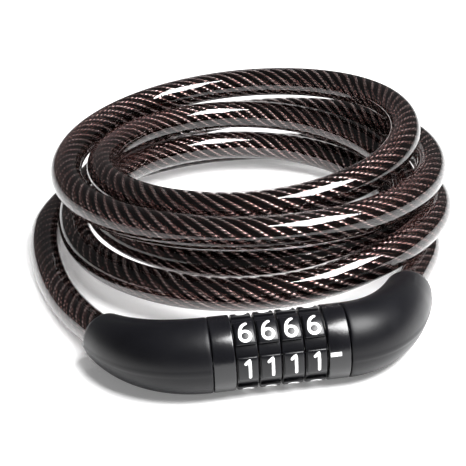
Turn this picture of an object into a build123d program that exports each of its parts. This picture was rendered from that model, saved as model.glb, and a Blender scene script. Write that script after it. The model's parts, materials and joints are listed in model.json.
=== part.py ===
"""Four-dial combination cable lock with a self-coiling cable, closed.

Millimetres. +X runs along the barrel from the plug end to the fixed end, +Y points
from the barrel to the coil of cable behind it, and +Z is up. The origin is on the
floor, under the middle of the barrel.
"""
import os
from math import cos, radians, sin

from build123d import *

# ---------------------------------------------------------------- driving dimensions
BARREL_RADIUS = 12.0          # outside of the end rings
BARREL_HALF_LENGTH = 21.5     # origin to the seam at each cap
AXIS_HEIGHT = BARREL_RADIUS   # the barrel lies on the floor
DIAL_COUNT = 4
DIAL_PITCH = 7.2
DIAL_WIDTH = 6.9
DIAL_FACES = 6                # digits on each dial
DIAL_BODY_RADIUS = 10.8
DIAL_PAD_RADIUS = 11.9
DIAL_PAD_WIDTH = 8.6          # around the dial
DIAL_PAD_LENGTH = 6.2         # along the barrel
FIRST_PAD_ANGLE = 29.0        # from straight up, towards the front
DIALS_START = -DIAL_COUNT * DIAL_PITCH / 2

CORE_RADIUS = 4.0             # slotted tube that everything turns on
CORE_BORE_RADIUS = 2.7
CORE_START = -18.5
SLOT_WIDTH = 2.4
RUNNING_CLEARANCE = 0.06
PIN_RADIUS = 2.62
FIN_RADIUS = 5.2              # tip of the fins, from the axis
FIN_LENGTH = 2.0
FIN_WIDTH = 2.0
KEYWAY_RADIUS = 5.6           # room for the fins
NOTCH_WIDTH = 2.6
WEB_LENGTH = 3.2              # the part of a code ring that stops the fin
SPLINE_ROOT_RADIUS = 6.4      # code ring inside its dial
SPLINE_TIP_RADIUS = 7.0
SPLINE_TEETH = 12
SPLINE_WIDTH = 1.2

CABLE_RADIUS = 6.0
ROPE_RADIUS = 3.0             # bare steel rope inside each cap
SOCKET_DEPTH = 8.0            # cable pushed into each cap
FLOOR_GAP = 0.1

# centreline of each cap: seam, corner, mouth
PLUG_CAP_ROUTE = [(-21.7, 0, 12), (-42.5, 0, 12), (-54, 24.5, 8.5)]
FIXED_CAP_ROUTE = [(21.5, 0, 12), (38.5, 0, 12), (51.5, 32, 8.5)]
CAP_BEND_RADIUS = 21.0
CAP_MOUTH_RADIUS = 8.3
CAP_SECTIONS = 13

# turns of cable: a narrow lower ring, and a wider upper ring that the plug's tail runs under
COIL_HOLE_RADIUS = 50.0
COIL_CENTRE = (12.2, 113.4)
LOWER_COIL = {"radius": 72.0, "bottom": FLOOR_GAP, "top": 14.0}
UPPER_COIL = {"radius": 81.5, "bottom": 12.6, "top": 48.5}
PLUG_TAIL_ROUTE = [
    (-60.1, 37.5, 6.64), (-68.7, 60, 6.2), (-73.6, 84, 6.2), (-74.3, 108, 6.2), (-71.5, 131, 6.2),
    (-63.5, 152.5, 6.2),
]
FIXED_TAIL_END = (56.7, 44.6, 7.2)


# ---------------------------------------------------------------- helpers
def rod(radius, start, end, y=0.0, z=AXIS_HEIGHT):
    """Solid cylinder along X between two X positions."""
    return Pos((start + end) / 2, y, z) * Rot(0, 90, 0) * Cylinder(radius, end - start)


def tube(outer, inner, start, end):
    """Round tube on the barrel's axis."""
    return rod(outer, start, end) - rod(inner, start - 1, end + 1)


def block(start, end, width, low, high):
    """Box along X, centred on Y, between two heights over the barrel's axis."""
    size = Box(end - start, width, high - low)
    return Pos((start + end) / 2, 0, AXIS_HEIGHT + (low + high) / 2) * size


def turned(shape, angle):
    """Shape turned about the barrel's axis, from straight up towards the front."""
    return Pos(0, 0, AXIS_HEIGHT) * Rot(angle, 0, 0) * Pos(0, 0, -AXIS_HEIGHT) * shape


def keyway(start, end, width=NOTCH_WIDTH):
    """Way for the fins, straight up from the axis."""
    return block(start, end, width, 0, KEYWAY_RADIUS)


def point_along(start, end, distance_from_end):
    """Point on the straight line start-end, a distance short of its end."""
    start = Vector(*start)
    end = Vector(*end)
    return end - (end - start).normalized() * distance_from_end


def disc_at(position, direction, radius):
    """Circular face across a direction."""
    return Plane(origin=position, z_dir=direction) * Circle(radius)


def swept_round(path, radius):
    """Round bar along a path."""
    return sweep(disc_at(path @ 0, path % 0, radius), path=path)


# ---------------------------------------------------------------- barrel
def core_tube():
    """Steel tube with a slot along its top, open at the plug end."""
    body = tube(CORE_RADIUS, CORE_BORE_RADIUS, CORE_START, BARREL_HALF_LENGTH)
    slot = block(CORE_START - 1, 15.6, SLOT_WIDTH, 0, CORE_RADIUS + 1)
    clip_groove = tube(CORE_RADIUS + 1, 3.6, CORE_START + 0.3, CORE_START + 1.1)
    detent_seat = block(DIALS_START, -DIALS_START, 2.2, -CORE_RADIUS - 1, -3.5)
    return body - slot - clip_groove - detent_seat - anchor_pin_hole()


def left_ring():
    """End ring at the plug side, with the mouth that takes the plug's flange."""
    start = -BARREL_HALF_LENGTH
    end = DIALS_START - 0.15
    body = tube(BARREL_RADIUS, CORE_RADIUS + 0.02, start, end)
    body = fillet(body.edges().filter_by(GeomType.CIRCLE).sort_by(SortBy.RADIUS)[-2:], 0.3)
    flange_mouth = rod(7.0, start - 1, -17.4)
    washer_seat = rod(9.5, end - 0.5, end + 1)
    return body - flange_mouth - washer_seat - keyway(start - 1, end + 1)


def right_ring():
    """End ring at the fixed side."""
    start = -DIALS_START + 0.15
    body = tube(BARREL_RADIUS, CORE_RADIUS, start, BARREL_HALF_LENGTH)
    body = fillet(body.edges().filter_by(GeomType.CIRCLE).sort_by(SortBy.RADIUS)[-2:], 0.3)
    washer_seat = rod(9.5, start - 1, start + 0.5)
    mark_seat = index_mark_blank(0.02)
    return body - washer_seat - mark_seat - anchor_pin_hole()


def index_mark_blank(margin):
    """Small bar let into the right ring, in line with the digits."""
    bar = block(14.9 - margin, 18.4 + margin, 1.3 + 2 * margin, 11.3 - margin, 12.15)
    return turned(bar, 79)


def washer(start):
    """Thin steel washer between an end ring and its dial."""
    return tube(9.3, CORE_RADIUS + RUNNING_CLEARANCE, start, start + 0.4) - keyway(start - 1, start + 1)


def retaining_clip():
    """C-shaped spring clip that holds the left ring on the core tube."""
    start = CORE_START + 0.35
    ring = tube(6.2, 3.62, start, start + 0.7)
    return ring - block(start - 1, start + 2, 4.6, 0, 8)


def detent_strip():
    """Leaf spring under the dials, with a dome for each one."""
    strip = block(DIALS_START + 0.3, -DIALS_START - 0.3, 2.0, -3.9, -3.55)
    dome = Sphere(0.5)
    for index in range(DIAL_COUNT):
        centre = dial_start(index) + WEB_LENGTH / 2
        strip += Pos(centre, 0, AXIS_HEIGHT - 3.52) * dome
    strip = strip & rod(CORE_RADIUS + 0.03, DIALS_START, -DIALS_START)
    return strip & block(DIALS_START, -DIALS_START, 2.0, -5, -3.52)


def anchor_pin_hole(radius=1.0):
    """Cross pin through the right ring, the core tube and the anchor."""
    return Pos(19.0, 0, AXIS_HEIGHT) * Cylinder(radius, 20)


# ---------------------------------------------------------------- dials
def dial_start(index):
    """X of a dial's plug-side face."""
    return DIALS_START + index * DIAL_PITCH + (DIAL_PITCH - DIAL_WIDTH) / 2


def spline_teeth(start, end, tip_radius, width):
    """Teeth around a code ring."""
    teeth = Part()
    for index in range(SPLINE_TEETH):
        tooth = block(start, end, width, SPLINE_ROOT_RADIUS - 1, tip_radius)
        teeth += turned(tooth, (index + 0.5) * 360 / SPLINE_TEETH)
    return teeth


def code_ring(index):
    """Brass ring that stops a fin unless its notch is in line with the slot."""
    start = dial_start(index)
    end = start + DIAL_WIDTH
    body = rod(SPLINE_ROOT_RADIUS, start, end)
    body += spline_teeth(start, end, SPLINE_TIP_RADIUS, SPLINE_WIDTH)
    body -= rod(CORE_RADIUS + RUNNING_CLEARANCE, start - 1, end + 1)
    body -= rod(KEYWAY_RADIUS, start + WEB_LENGTH, end + 1)
    body -= keyway(start - 1, end)
    for step in range(1, DIAL_FACES):
        scallop = rod(0.6, start - 1, start + WEB_LENGTH, z=AXIS_HEIGHT + CORE_RADIUS)
        body -= turned(scallop, step * 360 / DIAL_FACES)
    return body


def dial(index):
    """Dial ring with six raised number pads."""
    start = dial_start(index)
    end = start + DIAL_WIDTH
    body = rod(DIAL_BODY_RADIUS, start, end)
    body = chamfer(body.edges().filter_by(GeomType.CIRCLE), 0.4)
    inset = (DIAL_WIDTH - DIAL_PAD_LENGTH) / 2
    envelope = rod(DIAL_PAD_RADIUS, start + inset, end - inset)
    envelope = chamfer(envelope.edges().filter_by(GeomType.CIRCLE), 0.35)
    for face in range(DIAL_FACES):
        pad = block(start, end, DIAL_PAD_WIDTH, 9.0, BARREL_RADIUS)
        body += turned(pad, FIRST_PAD_ANGLE + face * 360 / DIAL_FACES) & envelope
    body -= rod(SPLINE_ROOT_RADIUS + 0.02, start - 1, end + 1)
    body -= spline_teeth(start - 1, end + 1, SPLINE_TIP_RADIUS + 0.02, SPLINE_WIDTH + 0.04)
    return body


# ---------------------------------------------------------------- plug
def plug_pin():
    """Steel pin with a flange and one fin behind each code ring's web."""
    pin = rod(PIN_RADIUS, -25.5, 15.0)
    pin = chamfer(pin.edges().filter_by(GeomType.CIRCLE).sort_by(Axis.X)[-1], 0.8)
    flange = rod(6.6, -21.7, -19.2)
    for index in range(DIAL_COUNT):
        start = dial_start(index) + WEB_LENGTH + 0.8
        flange += block(start, start + FIN_LENGTH, FIN_WIDTH, 0, FIN_RADIUS)
    return pin + flange - plug_cross_pin()


def plug_ferrule():
    """Crimped sleeve that joins the rope to the tail of the plug pin."""
    sleeve = rod(4.6, -29.5, -21.7) - rod(PIN_RADIUS, -25.5, -21)
    sleeve -= rod(ROPE_RADIUS, -30, -25.8)
    return sleeve - plug_cross_pin()


def plug_cross_pin(radius=0.8):
    """Cross pin through the plug's ferrule and the tail of its pin."""
    return Pos(-23.6, 0, AXIS_HEIGHT) * Cylinder(radius, 9)


# ---------------------------------------------------------------- caps
def cap_path(route):
    """Centreline of a cap."""
    return FilletPolyline(*route, radius=CAP_BEND_RADIUS)


def cap_radius(share):
    """Outside radius of a cap, from its seam (0) to its mouth (1)."""
    eased = share * share * (3 - 2 * share)
    return BARREL_RADIUS + (CAP_MOUTH_RADIUS - BARREL_RADIUS) * eased


def elbow_cap(route, ferrule):
    """Moulded elbow cap with a socket for the cable and room for its ferrule and rope."""
    path = cap_path(route)
    sections = []
    for index in range(CAP_SECTIONS):
        share = index / (CAP_SECTIONS - 1)
        tangent = path % share
        across = Plane(origin=path @ share, x_dir=Vector(0, 0, 1).cross(tangent), z_dir=tangent)
        sections.append(across * Circle(cap_radius(share)))
    body = loft(sections)
    mouth = Vector(*route[-1])
    socket_end = point_along(route[1], route[-1], SOCKET_DEPTH)
    direction = (mouth - socket_end).normalized()
    socket = extrude(disc_at(socket_end, direction, CABLE_RADIUS + 0.05), SOCKET_DEPTH + 2)
    rope_way = swept_round(rope_path(route), ROPE_RADIUS + 0.3)
    return body - socket - rope_way - ferrule


def rope_path(route):
    """Centreline of the bare rope inside a cap, from the ferrule to the cable."""
    side = 1 if route[0][0] > 0 else -1
    start = Vector(side * 25.8, 0, AXIS_HEIGHT)
    end = point_along(route[1], route[-1], SOCKET_DEPTH + 0.3)
    return FilletPolyline(start, route[1], end, radius=CAP_BEND_RADIUS - 6)


def plug_cap():
    """Elbow on the plug's end of the cable."""
    room = rod(4.65, -30, -21) + plug_cross_pin(0.85)
    return elbow_cap(PLUG_CAP_ROUTE, room)


def fixed_cap():
    """Elbow on the end of the cable that stays in the lock."""
    room = rod(7.05, 21, 24.2) + rod(4.65, 24, 30)
    return elbow_cap(FIXED_CAP_ROUTE, room)


# ---------------------------------------------------------------- fixed end
def anchor():
    """Steel stub in the end of the core tube, with a flange outside the right ring."""
    stub = rod(CORE_BORE_RADIUS, 16.2, BARREL_HALF_LENGTH) + rod(7.0, BARREL_HALF_LENGTH, 24.0)
    return stub - anchor_pin_hole()


def fixed_ferrule():
    """Crimped sleeve on the rope, against the anchor."""
    return rod(4.6, 24.0, 29.5) - rod(ROPE_RADIUS, 25.5, 30)


# ---------------------------------------------------------------- cable
def cable_coil():
    """Outer shape of all the turns together."""
    coil = Part()
    for ring in (LOWER_COIL, UPPER_COIL):
        height = ring["top"] - ring["bottom"]
        disc = Cylinder(ring["radius"], height)
        coil += Pos(*COIL_CENTRE, ring["bottom"] + height / 2) * disc
    return coil - Pos(*COIL_CENTRE, 0) * Cylinder(COIL_HOLE_RADIUS, 200)


def plug_tail_path():
    """The loose half turn from the plug's cap back to the coil."""
    start = point_along(PLUG_CAP_ROUTE[1], PLUG_CAP_ROUTE[-1], SOCKET_DEPTH - 0.3)
    return smooth_path([start] + [Vector(*point) for point in PLUG_TAIL_ROUTE])


def smooth_path(points):
    """Straight runs joined by arcs as large as the runs allow; prints the radii."""
    radii = []
    for before, corner, after in zip(points, points[1:], points[2:]):
        turn = (corner - before).get_angle(after - corner)
        shorter = min((corner - before).length, (after - corner).length)
        radii.append(0.45 * shorter * cos(radians(turn / 2)) / sin(radians(turn / 2)))
    print("arc radii", [round(radius, 1) for radius in radii])
    return FilletPolyline(*points, radius=radii)


def cable_plug_tail():
    """Cable from the plug's cap to the coil."""
    return swept_round(plug_tail_path(), CABLE_RADIUS)


def cable_fixed_tail():
    """Cable from the fixed cap to the coil."""
    start = point_along(FIXED_CAP_ROUTE[1], FIXED_CAP_ROUTE[-1], SOCKET_DEPTH)
    mouth = Vector(*FIXED_CAP_ROUTE[-1])
    return swept_round(smooth_path([start, mouth, Vector(*FIXED_TAIL_END)]), CABLE_RADIUS)


# ---------------------------------------------------------------- all the nodes
def all_nodes():
    """Every separate piece, by name."""
    nodes = {
        "core_tube": core_tube(),
        "left_ring": left_ring(),
        "right_ring": right_ring(),
        "index_mark": index_mark_blank(0),
        "left_washer": washer(DIALS_START - 0.6),
        "right_washer": washer(-DIALS_START + 0.2),
        "retaining_clip": retaining_clip(),
        "detent_strip": detent_strip(),
        "anchor": anchor(),
        "anchor_pin": anchor_pin_hole(),
        "fixed_ferrule": fixed_ferrule(),
        "fixed_rope_end": swept_round(rope_path(FIXED_CAP_ROUTE), ROPE_RADIUS),
        "fixed_cap": fixed_cap(),
        "plug_pin": plug_pin(),
        "plug_cross_pin": plug_cross_pin(),
        "plug_ferrule": plug_ferrule(),
        "plug_rope_end": swept_round(rope_path(PLUG_CAP_ROUTE), ROPE_RADIUS),
        "plug_cap": plug_cap(),
        "cable_coil": cable_coil(),
        "cable_plug_tail": cable_plug_tail(),
        "cable_fixed_tail": cable_fixed_tail(),
    }
    for index in range(DIAL_COUNT):
        nodes[f"dial_{index + 1}"] = dial(index)
        nodes[f"code_ring_{index + 1}"] = code_ring(index)
    return nodes


def main():
    """Write one STEP file for each piece."""
    os.makedirs("parts", exist_ok=True)
    for name, shape in all_nodes().items():
        export_step(shape, f"parts/{name}.step")


if __name__ == "__main__":
    main()
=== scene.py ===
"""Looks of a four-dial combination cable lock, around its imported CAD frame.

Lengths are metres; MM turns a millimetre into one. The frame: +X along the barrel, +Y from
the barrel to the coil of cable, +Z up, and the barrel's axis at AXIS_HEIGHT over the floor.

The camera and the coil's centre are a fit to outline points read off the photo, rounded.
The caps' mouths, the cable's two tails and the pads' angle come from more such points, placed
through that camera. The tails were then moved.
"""
import json
import math

import bmesh
import bpy
from mathutils import Matrix, Vector


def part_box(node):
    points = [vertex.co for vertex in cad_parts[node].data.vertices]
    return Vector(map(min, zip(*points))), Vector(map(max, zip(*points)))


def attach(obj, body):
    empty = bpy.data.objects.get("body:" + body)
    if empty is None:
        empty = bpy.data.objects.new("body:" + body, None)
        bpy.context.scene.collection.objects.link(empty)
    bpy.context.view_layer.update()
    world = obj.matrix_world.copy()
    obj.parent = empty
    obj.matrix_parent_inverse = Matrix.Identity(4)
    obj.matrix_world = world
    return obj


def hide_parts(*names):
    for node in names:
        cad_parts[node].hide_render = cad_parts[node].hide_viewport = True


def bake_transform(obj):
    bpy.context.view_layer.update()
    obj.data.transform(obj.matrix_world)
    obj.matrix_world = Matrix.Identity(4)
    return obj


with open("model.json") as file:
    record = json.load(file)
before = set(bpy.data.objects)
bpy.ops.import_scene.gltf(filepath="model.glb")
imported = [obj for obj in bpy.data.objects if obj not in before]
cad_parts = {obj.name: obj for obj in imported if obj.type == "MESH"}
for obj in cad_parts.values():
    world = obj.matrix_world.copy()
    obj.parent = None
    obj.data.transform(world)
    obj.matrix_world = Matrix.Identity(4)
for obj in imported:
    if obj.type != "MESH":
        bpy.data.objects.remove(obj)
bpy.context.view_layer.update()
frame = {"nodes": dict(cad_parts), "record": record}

# ---------------------------------------------------------------- sizes
MM = 0.001
DIALS = [f"dial_{index}" for index in range(1, 5)]
FACES = 6
FIRST_PAD_ANGLE = 29.0        # degrees from straight up, towards the front
LEFT_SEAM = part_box("left_ring")[0].x
RIGHT_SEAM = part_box("right_ring")[1].x
BARREL_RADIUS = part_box("left_ring")[1].z / 2
AXIS_HEIGHT = BARREL_RADIUS
LATHE_SIDES = 128             # faces round a turned piece
RING_BORES = {"left_ring": 7.0 * MM, "right_ring": 4.0 * MM}
SEAM_GAP = 0.05 * MM          # between an end ring and its cap

PAD_RADIUS = (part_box("dial_1")[1].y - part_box("dial_1")[0].y) / 2
PAD_HALF_LONG = 3.12 * MM     # along the barrel
PAD_HALF_WIDE = 4.3 * MM      # round the dial
PAD_DEPTH = 1.05 * MM         # from the pads' tops to the dial's drum
DIAL_BORE = 6.5 * MM

# a digit's strokes, in millimetres
STROKE_HALF_WIDTH = 0.53
STROKE_RISE = 0.16            # from its edges to its crown
STROKE_SINK = 0.1             # of its edges, under its pad's top
STROKE_STEP = 0.25            # between the sections along it

CABLE_RADIUS = 6.0 * MM
ROPE_RADIUS = 3.8 * MM
ROPE_STRANDS = 7
STRAND_SIDES = 10             # faces round each strand
SHEATH_SIDES = 40             # faces round the clear sleeve
ROPE_WIRES = 26               # fine wires round the rope, each in line with it
ROPE_LAY = 38 * MM            # length of cable in which a strand goes round once

# where the cable enters each cap, and the corner that each cap's bend is drawn towards
PLUG_MOUTH = Vector((-54, 24.5, 8.5)) * MM
FIXED_MOUTH = Vector((51.5, 32, 8.5)) * MM
PLUG_CORNER = Vector((-42.5, 0, 12)) * MM
FIXED_CORNER = Vector((38.5, 0, 12)) * MM
CAP_MOUTH_RADIUS = 8.3 * MM
SOCKET = 7.7 * MM             # cable hidden in each cap
CAP_SIDES = 96
CAP_STEPS = 60
SEAM_RIM = 0.5 * MM           # rounding of a cap's edge at the barrel
MOUTH_RIM = 0.9 * MM          # rounding of a cap's edge at the cable
PARTING_HEIGHT = 0.25 * MM

# the plug's tail: points from its cap to the coil
PLUG_TAIL_ROUTE = [
    (-60.1, 37.5, 6.64), (-68.7, 60, 6.2), (-73.6, 84, 6.2), (-75.5, 108, 6.2), (-73.5, 132, 6.2),
    (-63.5, 152.5, 6.2),
]
# the fixed tail: points from inside the turns, under the first of them, to the fixed cap
FIXED_TAIL_ROUTE = [(72, 91, 6.1), (69, 68, 6.1), (56.7, 44.6, 7.2)]

# the turns: radius and height of the cable's middle at the left, the back, the right and the
# front of each. A longer table from the same fit was rounded here to whole millimetres, and its
# marks were then moved against the photo and to keep the turns a cable apart.
COIL_CENTRE = (12.2, 113.4)
POINTS_PER_QUARTER = 4
FIRST_COIL_POINT = (-55.5, 168, 6.2)
FIRST_STEP = 3                # the first of the turns' steps after that point
TURNS = [
    [(87, 6), (75, 6), (68, 12), (83, 14)],
    [(75, 13), (77, 22), (67, 29), (76, 34)],
    [(76, 34), (67, 40), (58, 43), (60, 37)],
    [(62, 33), (60, 28), (56, 21), (70, 20)],
    [(64, 19), (59, 14), (56, 6)],
]
LOWEST = 6.1                  # height of the middle of a cable on the floor
CROSSING = 2.55               # quarter turns to where the first turn lies over the fixed tail
CROSSING_REACH = 0.65         # quarter turns from there to where its hump ends
HUMP = 6.2                    # rise of the first turn there

# the camera, in millimetres and degrees
CAMERA_PLACE = (-46.1, -309.9, 203.8)
CAMERA_AZIMUTH = -6.28
CAMERA_ELEVATION = 25.72
CAMERA_ROLL = -3.18
CAMERA_LENS = 89.0


# ---------------------------------------------------------------- materials
def new_material(name):
    """Empty node material with a principled shader; returns the material, tree and shader."""
    material = bpy.data.materials.new(name)
    material.use_nodes = True
    tree = material.node_tree
    return material, tree, tree.nodes["Principled BSDF"]


def add_noise(tree, scale, detail=4.0):
    """Noise in object space."""
    place = tree.nodes.new("ShaderNodeTexCoord")
    noise = tree.nodes.new("ShaderNodeTexNoise")
    noise.inputs["Scale"].default_value = scale
    noise.inputs["Detail"].default_value = detail
    tree.links.new(place.outputs["Object"], noise.inputs["Vector"])
    return noise


def add_ramp(tree, value, low, high, low_colour, high_colour):
    """Colour that runs from one to another as a value goes from low to high."""
    ramp = tree.nodes.new("ShaderNodeValToRGB")
    ramp.color_ramp.elements[0].position = low
    ramp.color_ramp.elements[1].position = high
    ramp.color_ramp.elements[0].color = low_colour
    ramp.color_ramp.elements[1].color = high_colour
    tree.links.new(value, ramp.inputs["Fac"])
    return ramp


def add_bump(tree, shader, value, distance, strength):
    """Bump from a value, in metres."""
    bump = tree.nodes.new("ShaderNodeBump")
    bump.inputs["Distance"].default_value = distance
    bump.inputs["Strength"].default_value = strength
    tree.links.new(value, bump.inputs["Height"])
    tree.links.new(bump.outputs["Normal"], shader.inputs["Normal"])


def grey(value):
    """Opaque neutral colour."""
    return (value, value, value, 1)


def moulded_plastic(name, colour, roughness, grain, grain_depth, gloss):
    """Black moulded plastic: fine grain, and faint handling marks in its shine."""
    material, tree, shader = new_material(name)
    clouds = add_noise(tree, 90)
    lighter = tuple(1.35 * part for part in colour[:3]) + (1,)
    tint = add_ramp(tree, clouds.outputs["Fac"], 0.3, 0.7, colour, lighter)
    shine = add_ramp(tree, clouds.outputs["Fac"], 0.3, 0.75, grey(roughness), grey(roughness + 0.09))
    tree.links.new(tint.outputs["Color"], shader.inputs["Base Color"])
    tree.links.new(shine.outputs["Color"], shader.inputs["Roughness"])
    shader.inputs["Specular IOR Level"].default_value = gloss
    pores = add_noise(tree, grain, 3.0)
    add_bump(tree, shader, pores.outputs["Fac"], grain_depth, 0.5)
    return material


def white_print():
    """Off-white moulded digits and mark, a little dirty."""
    material, tree, shader = new_material("white_print")
    dirt = add_noise(tree, 900)
    tint = add_ramp(tree, dirt.outputs["Fac"], 0.35, 0.65, grey(0.72), grey(0.92))
    tree.links.new(tint.outputs["Color"], shader.inputs["Base Color"])
    shader.inputs["Roughness"].default_value = 0.38
    add_bump(tree, shader, dirt.outputs["Fac"], 0.00003, 0.4)
    return material


def turned_metal(name, colour, roughness):
    """Turned or drawn metal, with fine rings along the barrel."""
    material, tree, shader = new_material(name)
    place = tree.nodes.new("ShaderNodeTexCoord")
    rings = tree.nodes.new("ShaderNodeTexWave")
    rings.bands_direction = "X"
    rings.inputs["Scale"].default_value = 900
    rings.inputs["Distortion"].default_value = 1.5
    tree.links.new(place.outputs["Object"], rings.inputs["Vector"])
    smudges = add_noise(tree, 300)
    shine = add_ramp(tree, smudges.outputs["Fac"], 0.3, 0.7, grey(roughness), grey(roughness + 0.15))
    shader.inputs["Base Color"].default_value = colour
    shader.inputs["Metallic"].default_value = 1.0
    tree.links.new(shine.outputs["Color"], shader.inputs["Roughness"])
    add_bump(tree, shader, rings.outputs["Fac"], 0.00002, 0.5)
    return material


def math_node(tree, operation, first, second):
    """Math node on a socket and a number or a second socket."""
    node = tree.nodes.new("ShaderNodeMath")
    node.operation = operation
    tree.links.new(first, node.inputs[0])
    if isinstance(second, (int, float)):
        node.inputs[1].default_value = second
    else:
        tree.links.new(second, node.inputs[1])
    return node.outputs["Value"]


def wire_rope():
    """Dark reddish steel rope: fine wires in line with it, painted glints on the strand crests,
    painted shade between.
    """
    material, tree, shader = new_material("wire_rope")
    place = tree.nodes.new("ShaderNodeUVMap")
    split = tree.nodes.new("ShaderNodeSeparateXYZ")
    tree.links.new(place.outputs["UV"], split.inputs["Vector"])
    along = split.outputs["X"]
    around = split.outputs["Y"]
    turn = 2 * math.pi
    untwisted = math_node(tree, "ADD", around, math_node(tree, "MULTIPLY", along, 1 / ROPE_LAY))
    wires = math_node(tree, "SINE", math_node(tree, "MULTIPLY", untwisted, turn * ROPE_WIRES), 0)
    crest = math_node(tree, "COSINE", math_node(tree, "MULTIPLY", around, turn * ROPE_STRANDS), 0)
    relief = math_node(tree, "ADD", math_node(tree, "MULTIPLY", wires, 0.5), 0.5)
    height = math_node(tree, "ADD", math_node(tree, "MULTIPLY", crest, 0.5), 0.5)
    # painted glints and shade: the colour is bright on the strand crests and wire tops as painted
    # glints, and near-black in the grooves between them as painted shade
    painted_glint_and_shade = math_node(tree, "MULTIPLY", relief, math_node(tree, "POWER", height, 6))
    tint = add_ramp(tree, painted_glint_and_shade, 0.05, 0.8, (0.018, 0.008, 0.007, 1), (0.58, 0.46, 0.44, 1))
    rust = add_noise(tree, 220)
    stain = add_ramp(tree, rust.outputs["Fac"], 0.4, 0.7, grey(1.0), (0.62, 0.42, 0.4, 1))
    mix = tree.nodes.new("ShaderNodeMix")
    mix.data_type = "RGBA"
    mix.blend_type = "MULTIPLY"
    mix.inputs["Factor"].default_value = 1.0
    tree.links.new(tint.outputs["Color"], mix.inputs["A"])
    tree.links.new(stain.outputs["Color"], mix.inputs["B"])
    tree.links.new(mix.outputs["Result"], shader.inputs["Base Color"])
    shader.inputs["Metallic"].default_value = 0.9
    shader.inputs["Roughness"].default_value = 0.12
    add_bump(tree, shader, relief, 0.00014, 0.8)
    return material


def clear_sheath():
    """Clear, faintly smoky soft plastic sleeve. Shadow rays pass it, so the rope inside is lit."""
    material, tree, shader = new_material("clear_sheath")
    shader.inputs["Base Color"].default_value = (0.8, 0.78, 0.78, 1)
    shader.inputs["Transmission Weight"].default_value = 1.0
    shader.inputs["IOR"].default_value = 1.5
    smears = add_noise(tree, 60)
    shine = add_ramp(tree, smears.outputs["Fac"], 0.35, 0.75, grey(0.03), grey(0.1))
    tree.links.new(shine.outputs["Color"], shader.inputs["Roughness"])
    add_bump(tree, shader, smears.outputs["Fac"], 0.0004, 0.12)
    ray = tree.nodes.new("ShaderNodeLightPath")
    through = tree.nodes.new("ShaderNodeBsdfTransparent")
    through.inputs["Color"].default_value = grey(0.8)
    choice = tree.nodes.new("ShaderNodeMixShader")
    output = tree.nodes["Material Output"]
    tree.links.new(ray.outputs["Is Shadow Ray"], choice.inputs["Fac"])
    tree.links.new(shader.outputs["BSDF"], choice.inputs[1])
    tree.links.new(through.outputs["BSDF"], choice.inputs[2])
    tree.links.new(choice.outputs["Shader"], output.inputs["Surface"])
    return material


PLASTIC_BLACK = (0.003, 0.003, 0.004, 1)

MATERIALS = {
    "cap_black": moulded_plastic("cap_black", PLASTIC_BLACK, 0.36, 2000, 0.00006, gloss=0.2),
    "ring_black": moulded_plastic("ring_black", PLASTIC_BLACK, 0.17, 1200, 0.00005, gloss=0.45),
    "dial_black": moulded_plastic("dial_black", PLASTIC_BLACK, 0.26, 1500, 0.00008, gloss=0.3),
    "mark_white": white_print(),
    "core_steel": turned_metal("core_steel", (0.55, 0.56, 0.58, 1), 0.25),
    "spring_steel": turned_metal("spring_steel", (0.42, 0.43, 0.45, 1), 0.3),
    "code_brass": turned_metal("code_brass", (0.72, 0.5, 0.22, 1), 0.25),
    "rope_steel": wire_rope(),
    "cable_sheath": clear_sheath(),
}


# ---------------------------------------------------------------- meshes
def finish_mesh(name, bm, slot):
    """Smooth-shaded object from a bmesh, with its material slot."""
    mesh = bpy.data.meshes.new(name)
    bmesh.ops.recalc_face_normals(bm, faces=bm.faces)
    bm.to_mesh(mesh)
    bm.free()
    for polygon in mesh.polygons:
        polygon.use_smooth = True
    piece = bpy.data.objects.new(name, mesh)
    bpy.context.scene.collection.objects.link(piece)
    mesh.materials.append(MATERIALS[slot])
    return piece


def skin_rings(bm, rings, close_start=False, close_end=False):
    """Quads between rings of vertices, and a face over either end if asked."""
    for first, second in zip(rings, rings[1:]):
        count = len(first)
        for index in range(count):
            after = (index + 1) % count
            bm.faces.new((first[index], first[after], second[after], second[index]))
    if close_start:
        bm.faces.new(rings[0])
    if close_end:
        bm.faces.new(rings[-1])


def lathe(name, profile, slot):
    """Turned piece about the barrel's axis, from (x, radius) points in order round its section."""
    bm = bmesh.new()
    rings = []
    for x, radius in profile + profile[:1]:
        ring = []
        for index in range(LATHE_SIDES):
            angle = 2 * math.pi * index / LATHE_SIDES
            spot = (x, radius * math.sin(angle), AXIS_HEIGHT + radius * math.cos(angle))
            ring.append(bm.verts.new(spot))
        rings.append(ring)
    skin_rings(bm, rings)
    bmesh.ops.remove_doubles(bm, verts=bm.verts, dist=1e-7)
    return finish_mesh(name, bm, slot)


def rounded(corner, before, after, radius, steps=5):
    """Points of an arc that rounds a corner of a profile."""
    corner = Vector(corner)
    to_before = (Vector(before) - corner).normalized()
    to_after = (Vector(after) - corner).normalized()
    start = corner + to_before * radius
    end = corner + to_after * radius
    points = []
    for step in range(steps + 1):
        share = step / steps
        curve = start * (1 - share) ** 2 + corner * 2 * share * (1 - share) + end * share ** 2
        points.append((curve.x, curve.y))
    return points


def rounded_profile(corners):
    """Profile from (x, radius, rounding) corners."""
    points = []
    for index, (x, radius, rounding) in enumerate(corners):
        before = corners[index - 1][:2]
        after = corners[(index + 1) % len(corners)][:2]
        if rounding:
            points += rounded((x, radius), before, after, rounding)
        else:
            points.append((x, radius))
    return points


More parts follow.
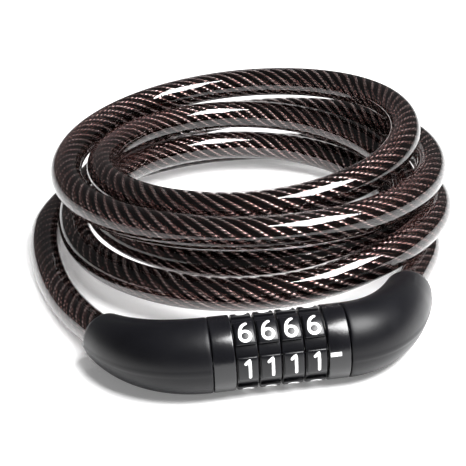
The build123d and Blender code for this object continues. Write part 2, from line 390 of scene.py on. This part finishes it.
# ---------------------------------------------------------------- routes
def nurbs_line(name, points, resolution):
    """Points along the smooth line that a NURBS spline makes of a route."""
    curve = bpy.data.curves.new(name, "CURVE")
    curve.dimensions = "3D"
    spline = curve.splines.new("NURBS")
    spline.points.add(len(points) - 1)
    for target, point in zip(spline.points, points):
        target.co = (*point, 1)
    spline.order_u = 3
    spline.use_endpoint_u = True
    spline.resolution_u = resolution
    holder = bpy.data.objects.new(name, curve)
    mesh = bpy.data.meshes.new_from_object(holder)
    line = [vertex.co.copy() for vertex in mesh.vertices]
    bpy.data.objects.remove(holder)
    bpy.data.meshes.remove(mesh)
    return line


def catmull_rom(before, start, end, after, share):
    """Value between start and end on a smooth curve through four values."""
    slope_in = (end - before) / 2
    slope_out = (after - start) / 2
    square = share * share
    cube = square * share
    return (
        (2 * cube - 3 * square + 1) * start + (cube - 2 * square + share) * slope_in
        + (3 * square - 2 * cube) * end + (cube - square) * slope_out
    )


def hump_height(quarters):
    """Rise of the first turn where it lies over the tail to the fixed cap."""
    away = abs(quarters - CROSSING) / CROSSING_REACH
    return HUMP * (1 + math.cos(math.pi * away)) / 2 if away < 1 else 0.0


def turn_point(quarters):
    """Point of the coil a number of quarter turns from its left side."""
    marks = [mark for turn in TURNS for mark in turn]
    index = min(int(quarters), len(marks) - 2)
    share = quarters - index
    around = [marks[max(0, min(len(marks) - 1, index + offset))] for offset in (-1, 0, 1, 2)]
    radius = catmull_rom(*(mark[0] for mark in around), share)
    height = max(LOWEST, catmull_rom(*(mark[1] for mark in around), share))
    height += hump_height(quarters)
    angle = math.radians(90 * quarters)
    # the spline cuts inside its control points, so they stand out by as much
    outset = 1 / (0.75 + 0.25 * math.cos(math.radians(90 / POINTS_PER_QUARTER)))
    x = COIL_CENTRE[0] - radius * outset * math.cos(angle)
    y = COIL_CENTRE[1] + radius * outset * math.sin(angle)
    return Vector((x, y, height)) * MM


def coil_route():
    """Control points of the coil and of the short tail that ends in the fixed cap."""
    quarters = sum(len(turn) for turn in TURNS) - 1
    route = [Vector(PLUG_TAIL_ROUTE[-1]) * MM, Vector(FIRST_COIL_POINT) * MM]
    for step in range(FIRST_STEP, quarters * POINTS_PER_QUARTER + 1):
        route.append(turn_point(step / POINTS_PER_QUARTER))
    route += [Vector(point) * MM for point in FIXED_TAIL_ROUTE]
    route.append(FIXED_MOUTH)
    inward = (FIXED_CORNER - FIXED_MOUTH).normalized()
    route.append(FIXED_MOUTH + inward * SOCKET)
    return route


def plug_tail_route():
    """Control points of the tail, from the coil to inside the plug's cap."""
    inward = (PLUG_CORNER - PLUG_MOUTH).normalized()
    points = [Vector(point) * MM for point in reversed(PLUG_TAIL_ROUTE)]
    return points + [PLUG_MOUTH + inward * SOCKET]


def line_frames(line):
    """Direction and two unit vectors across it at each point, without twist."""
    frames = []
    across = Vector((0, 0, 1))
    for index, point in enumerate(line):
        before = line[max(index - 1, 0)]
        after = line[min(index + 1, len(line) - 1)]
        direction = (after - before).normalized()
        across = (across - direction * across.dot(direction)).normalized()
        frames.append((point, direction, across, direction.cross(across)))
    return frames


def tube_mesh(name, line, slot, sides, radius_at, lay=None):
    """Tube along a line, open at the start, where the coil and the plug's tail meet.

    radius_at(angle) is its section, which turns with the lay if there is one.
    """
    bm = bmesh.new()
    layer = bm.loops.layers.uv.new("UVMap")
    rings = []
    distances = []
    travelled = 0.0
    previous = line[0]
    for point, _, across, sideways in line_frames(line):
        travelled += (point - previous).length
        previous = point
        twist = 2 * math.pi * travelled / lay if lay else 0.0
        ring = []
        for index in range(sides):
            angle = 2 * math.pi * index / sides
            radius = radius_at(angle)
            turned = angle + twist
            offset = across * math.cos(turned) * radius + sideways * math.sin(turned) * radius
            ring.append(bm.verts.new(point + offset))
        rings.append(ring)
        distances.append(travelled)
    skin_rings(bm, rings, close_end=True)
    bm.verts.index_update()
    place = {}
    for row, ring in enumerate(rings):
        for column, vertex in enumerate(ring):
            place[vertex] = (distances[row], column / sides)
    for face in bm.faces:
        highest = max(place[loop.vert][1] for loop in face.loops)
        for loop in face.loops:
            along, around = place[loop.vert]
            if highest - around > 0.5:
                around += 1.0
            loop[layer].uv = (along, around)
    return finish_mesh(name, bm, slot)


def strand_section(angle):
    """Radius of the rope's section: round strands side by side."""
    half_pitch = math.pi / ROPE_STRANDS
    off = (angle + half_pitch) % (2 * half_pitch) - half_pitch
    strand = ROPE_RADIUS * math.sin(half_pitch) / (1 + math.sin(half_pitch))
    centre = ROPE_RADIUS - strand
    return centre * math.cos(off) + math.sqrt(max(0.0, strand ** 2 - (centre * math.sin(off)) ** 2))


# ---------------------------------------------------------------- cable
def sheath_section(angle):
    """Radius of the round sleeve, the same all round."""
    return CABLE_RADIUS


def every_second(line):
    """Every second point of a line, and its last."""
    kept = line[::2]
    if len(line) % 2 == 0:
        kept.append(line[-1])
    return kept


def cable_piece(name, route, resolution):
    """Clear sleeve and the rope inside it along one route; returns both and the line."""
    line = nurbs_line(name, route, resolution)
    sheath = tube_mesh(
        f"{name}_sheath", every_second(line), "cable_sheath", SHEATH_SIDES, sheath_section,
    )
    rope = tube_mesh(
        f"{name}_rope", line, "rope_steel", ROPE_STRANDS * STRAND_SIDES, strand_section, ROPE_LAY,
    )
    return sheath, rope, line


def make_cable():
    """The coil, which stays with the lock, and the tail to the plug's cap, baked in place and not
    attached to a body.
    """
    coil, coil_rope, coil_line = cable_piece("coil", coil_route(), 14)
    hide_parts("cable_coil", "cable_fixed_tail")
    for piece in (coil, coil_rope):
        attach(piece, "lock_body")
    tail, tail_rope, tail_line = cable_piece("tail", plug_tail_route(), 12)
    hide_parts("cable_plug_tail")
    for piece in (tail, tail_rope):
        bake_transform(piece)


# ---------------------------------------------------------------- caps
def cap_line(seam_x, corner, mouth):
    """Centreline of a cap: one curve out of the seam, round the bend, to the mouth."""
    seam = Vector((seam_x, 0, AXIS_HEIGHT))
    line = []
    for step in range(CAP_STEPS + 1):
        share = step / CAP_STEPS
        first = seam.lerp(corner, share)
        second = corner.lerp(mouth, share)
        line.append(first.lerp(second, share))
    return line


def cap_radius(share):
    """Radius of a cap from its seam to its mouth: full, then drawn in round the bend."""
    return BARREL_RADIUS + (CAP_MOUTH_RADIUS - BARREL_RADIUS) * share ** 2


def cap_shell(name, seam_x, corner, mouth, body, node):
    """Moulded elbow with rounded rims, a parting line round it and a socket for the cable."""
    line = cap_line(seam_x, corner, mouth)
    frames = line_frames(line)
    bm = bmesh.new()
    rings = []

    def add_ring(station, radius, shift=0.0, ridge=True):
        point, direction, across, sideways = station
        ring = []
        for index in range(CAP_SIDES):
            angle = 2 * math.pi * (index + 0.5) / CAP_SIDES
            rise = parting_rise(index) if ridge else 0.0
            offset = across * math.cos(angle) + sideways * math.sin(angle)
            ring.append(bm.verts.new(point + direction * shift + offset * (radius + rise)))
        rings.append(ring)

    # the flat end at the barrel, in two rings, and its rounded edge
    inner_inset = 4 * MM
    setback = 0.1 * MM
    add_ring(frames[0], BARREL_RADIUS - inner_inset, setback, ridge=False)
    add_ring(frames[0], BARREL_RADIUS - SEAM_RIM, setback, ridge=False)
    add_ring(frames[0], BARREL_RADIUS - SEAM_RIM * 0.3, setback + SEAM_RIM * 0.25)
    for index, station in enumerate(frames[1:-1], start=1):
        add_ring(station, cap_radius(index / (len(frames) - 1)))
    for step in range(5):
        angle = math.pi / 2 * step / 4
        inset = MOUTH_RIM * (1 - math.cos(angle))
        add_ring(frames[-1], CAP_MOUTH_RADIUS - inset, -MOUTH_RIM * (1 - math.sin(angle)))
    add_ring(frames[-1], CABLE_RADIUS + 0.15 * MM, 0, ridge=False)
    add_ring(frames[-1], CABLE_RADIUS + 0.1 * MM, -SOCKET, ridge=False)
    skin_rings(bm, rings, close_start=True, close_end=True)
    shell = finish_mesh(name, bm, "cap_black")
    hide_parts(node)
    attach(shell, body)


def parting_rise(index):
    """Height of the parting line, a hair ridge along both sides of a cap."""
    quarter = CAP_SIDES // 4
    return PARTING_HEIGHT if index in (quarter, 3 * quarter) else 0.0


def make_caps():
    """Both elbows."""
    cap_shell("plug_elbow", LEFT_SEAM, PLUG_CORNER, PLUG_MOUTH, "plug", "plug_cap")
    cap_shell("fixed_elbow", RIGHT_SEAM, FIXED_CORNER, FIXED_MOUTH, "lock_body", "fixed_cap")


# ---------------------------------------------------------------- barrel
def end_ring(name, node, seam_x, dial_side, bore):
    """Glossy end ring with rounded edges."""
    side = 1 if dial_side > seam_x else -1
    corners = [
        (seam_x + side * SEAM_GAP, bore, 0),
        (seam_x + side * SEAM_GAP, BARREL_RADIUS, 0.45 * MM),
        (dial_side, BARREL_RADIUS, 0.6 * MM),
        (dial_side, bore, 0),
    ]
    ring = lathe(name, rounded_profile(corners), "ring_black")
    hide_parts(node)
    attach(ring, "lock_body")


def make_rings():
    """Both end rings."""
    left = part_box("left_ring")
    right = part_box("right_ring")
    end_ring("left_end_ring", "left_ring", left[0].x, left[1].x, RING_BORES["left_ring"])
    end_ring("right_end_ring", "right_ring", right[1].x, right[0].x, RING_BORES["right_ring"])


# ---------------------------------------------------------------- dials
def dial_drum(name, low, high):
    """Body of a dial, under its pads."""
    radius = PAD_RADIUS - PAD_DEPTH
    corners = [
        (low, DIAL_BORE, 0), (low, radius, 0.35 * MM),
        (high, radius, 0.35 * MM), (high, DIAL_BORE, 0),
    ]
    return lathe(f"{name}_drum", rounded_profile(corners), "dial_black")


def wrap(x, across, height):
    """Point on the dial: across is the distance round it from the pad's middle line."""
    angle = across / PAD_RADIUS
    return Vector((x, -height * math.sin(angle), height * math.cos(angle)))


def pad_mesh(name, middle):
    """Raised number pad at the top of the dial, curved like it, with bevelled edges.

    Each edge point is (inset, drop under the pad's top), in millimetres.
    """
    skirt = 1.2
    edge = [(0.0, skirt), (0.0, 0.4), (0.1, 0.14), (0.4, 0.0)]
    section = [(-PAD_HALF_LONG + inset * MM, drop) for inset, drop in edge]
    section += [(-x, drop) for x, drop in reversed(section)]
    stations = [(-PAD_HALF_WIDE + inset * MM, drop) for inset, drop in edge]
    stations += [(PAD_HALF_WIDE * step / 8, 0.0) for step in range(-6, 7)]
    stations += [(-across, drop) for across, drop in reversed(stations[:4])]
    bm = bmesh.new()
    rows = []
    for across, end_drop in stations:
        row = []
        for x, side_drop in section:
            height = PAD_RADIUS - max(side_drop, end_drop) * MM
            row.append(bm.verts.new(wrap(middle + x, across, height)))
        rows.append(row)
    for first, second in zip(rows, rows[1:]):
        for index in range(len(section) - 1):
            bm.faces.new((first[index], first[index + 1], second[index + 1], second[index]))
    return finish_mesh(name, bm, "dial_black")


def arc(centre, radius, start, end, steps=14):
    """Points round part of a circle, between two angles in degrees."""
    points = []
    for step in range(steps + 1):
        angle = math.radians(start + (end - start) * step / steps)
        points.append((centre[0] + radius * math.cos(angle), centre[1] + radius * math.sin(angle)))
    return points


def bow(start, pull, end, steps=10):
    """Points on a curve from start to end, drawn towards pull."""
    points = []
    for step in range(steps + 1):
        share = step / steps
        first = Vector(start).lerp(Vector(pull), share)
        second = Vector(pull).lerp(Vector(end), share)
        points.append(tuple(first.lerp(second, share)))
    return points


def digit_strokes(digit):
    """Middle lines of a digit's strokes, in millimetres about its centre."""
    foot = -3.2
    head = 3.2
    return {
        1: [[(-1.1, 1.9), (0.5, head), (0.5, foot)]],
        2: [arc((0, 1.6), 1.55, 165, -25) + [(-1.5, foot), (1.6, foot)]],
        3: [arc((0, 1.65), 1.5, 150, -80), arc((0, -1.5), 1.65, 90, -150)],
        4: [[(1.8, -1.3), (-1.7, -1.3), (0.7, head), (0.7, foot)]],
        5: [[(1.4, head), (-1.1, head), (-1.3, 0.5)] + arc((0, -1.4), 1.75, 125, -145)],
        6: [bow((1.1, head), (-1.5, 2.6), (-1.65, -1.45)) + arc((0, -1.45), 1.65, 190, 535, 24)],
    }[digit]


def even_points(points, gap):
    """Points at about even gaps along a line of straight pieces."""
    spread = [Vector(points[0])]
    for start, end in zip(points, points[1:]):
        start = Vector(start)
        end = Vector(end)
        count = max(1, round((end - start).length / gap))
        spread += [start.lerp(end, step / count) for step in range(1, count + 1)]
    return spread


def add_stroke(bm, points, middle):
    """Rounded ridge along a stroke, wrapped on the dial, with round ends."""
    line = even_points(points, STROKE_STEP)
    section = 8
    rings = []
    for index, point in enumerate(line):
        before = line[max(index - 1, 0)]
        after = line[min(index + 1, len(line) - 1)]
        direction = (after - before).normalized()
        side = Vector((-direction.y, direction.x))
        from_end = min(index, len(line) - 1 - index) * STROKE_STEP
        reach = min(1.0, (from_end + 0.06) / STROKE_HALF_WIDTH)
        width = STROKE_HALF_WIDTH * math.sqrt(1 - (1 - reach) ** 2)
        ring = []
        for step in range(section + 1):
            angle = math.pi * step / section
            flat = point + side * width * math.cos(angle)
            rise = STROKE_RISE * min(1.0, 1.6 * math.sin(angle)) - STROKE_SINK
            height = PAD_RADIUS + rise * MM
            ring.append(bm.verts.new(wrap(middle + flat.x * MM, -flat.y * MM, height)))
        rings.append(ring)
    for first, second in zip(rings, rings[1:]):
        for step in range(section):
            bm.faces.new((first[step], first[step + 1], second[step + 1], second[step]))


def digit_mesh(name, digit, middle):
    """Raised digit wrapped on a pad at the top of the dial, read from the front."""
    bm = bmesh.new()
    for points in digit_strokes(digit):
        add_stroke(bm, points, middle)
    return finish_mesh(name, bm, "mark_white")


def turn_about_axis(piece, degrees):
    """Turns a piece made about the X axis, from straight up towards the front, and lifts it."""
    turn = Matrix.Rotation(math.radians(degrees), 4, "X")
    piece.data.transform(Matrix.Translation((0, 0, AXIS_HEIGHT)) @ turn)


def make_dials():
    """Each dial: drum, six pads and their digits, from the 6 at the upper front."""
    for name in DIALS:
        low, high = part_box(name)
        middle = (low.x + high.x) / 2
        drum = dial_drum(name, low.x, high.x)
        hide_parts(name)
        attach(drum, name)
        for face in range(FACES):
            digit = (FACES - 1 + face) % FACES + 1
            angle = FIRST_PAD_ANGLE + face * 360 / FACES
            for piece in (
                pad_mesh(f"{name}_pad_{digit}", middle),
                digit_mesh(f"{name}_digit_{digit}", digit, middle),
            ):
                turn_about_axis(piece, angle)
                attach(piece, name)


# ---------------------------------------------------------------- the nodes kept from the CAD
def dress_nodes():
    """Procedural materials for every CAD node, shown or not."""
    for entry in frame["record"]["subparts"]:
        node = frame["nodes"][entry["node"]]
        node.data.materials.clear()
        node.data.materials.append(MATERIALS[entry["material_slot"]])


# ---------------------------------------------------------------- camera, light and floor
def aim(thing, position, direction, roll=0.0):
    """Places an object, looking along a direction."""
    turn = Vector(direction).to_track_quat("-Z", "Y").to_matrix().to_4x4()
    tilt = Matrix.Rotation(math.radians(roll), 4, "Z")
    thing.matrix_world = Matrix.Translation(position) @ turn @ tilt


def make_camera():
    """Camera in front of the lock, a little to its left and above it."""
    data = bpy.data.cameras.new("camera")
    data.lens = CAMERA_LENS
    data.sensor_width = 36.0
    data.dof.use_dof = False
    camera = bpy.data.objects.new("camera", data)
    bpy.context.scene.collection.objects.link(camera)
    azimuth = math.radians(CAMERA_AZIMUTH)
    elevation = math.radians(CAMERA_ELEVATION)
    direction = Vector((
        -math.sin(azimuth) * math.cos(elevation), math.cos(azimuth) * math.cos(elevation),
        -math.sin(elevation),
    ))
    aim(camera, Vector(CAMERA_PLACE) * MM, direction, roll=CAMERA_ROLL)
    bpy.context.scene.camera = camera
    bpy.context.scene.view_settings.view_transform = "Standard"


def area_light(name, position, target, size, power):
    """Square soft light."""
    data = bpy.data.lights.new(name, "AREA")
    data.shape = "SQUARE"
    data.size = size
    data.energy = power
    lamp = bpy.data.objects.new(name, data)
    bpy.context.scene.collection.objects.link(lamp)
    aim(lamp, Vector(position), Vector(target) - Vector(position))


def make_light():
    """One large soft box overhead, broad light from behind, and a dim surround."""
    area_light("overhead", (0.26, -0.16, 0.56), (0.02, 0.04, 0), 0.36, 13.0)
    sun = bpy.data.objects.new("back_light", bpy.data.lights.new("back_light", "SUN"))
    sun.data.energy = 1.3
    sun.data.angle = math.radians(35)
    sun.visible_glossy = False
    bpy.context.scene.collection.objects.link(sun)
    aim(sun, (0.4, 0.5, 0.9), (-0.4, -0.42, -0.9))
    world = bpy.data.worlds.new("surround")
    world.use_nodes = True
    world.node_tree.nodes["Background"].inputs["Color"].default_value = grey(1.0)
    world.node_tree.nodes["Background"].inputs["Strength"].default_value = 0.1
    bpy.context.scene.world = world


def make_floor():
    """Plain pale floor."""
    bm = bmesh.new()
    bmesh.ops.create_grid(bm, x_segments=1, y_segments=1, size=30.0)
    mesh = bpy.data.meshes.new("floor")
    bm.to_mesh(mesh)
    bm.free()
    floor = bpy.data.objects.new("floor", mesh)
    bpy.context.scene.collection.objects.link(floor)
    material, _, shader = new_material("floor")
    shader.inputs["Base Color"].default_value = grey(0.9)
    shader.inputs["Roughness"].default_value = 0.6
    shader.inputs["Emission Color"].default_value = grey(1.0)
    shader.inputs["Emission Strength"].default_value = 0.2
    mesh.materials.append(material)


make_camera()
make_cable()
make_caps()
make_rings()
make_dials()
dress_nodes()
make_light()
make_floor()
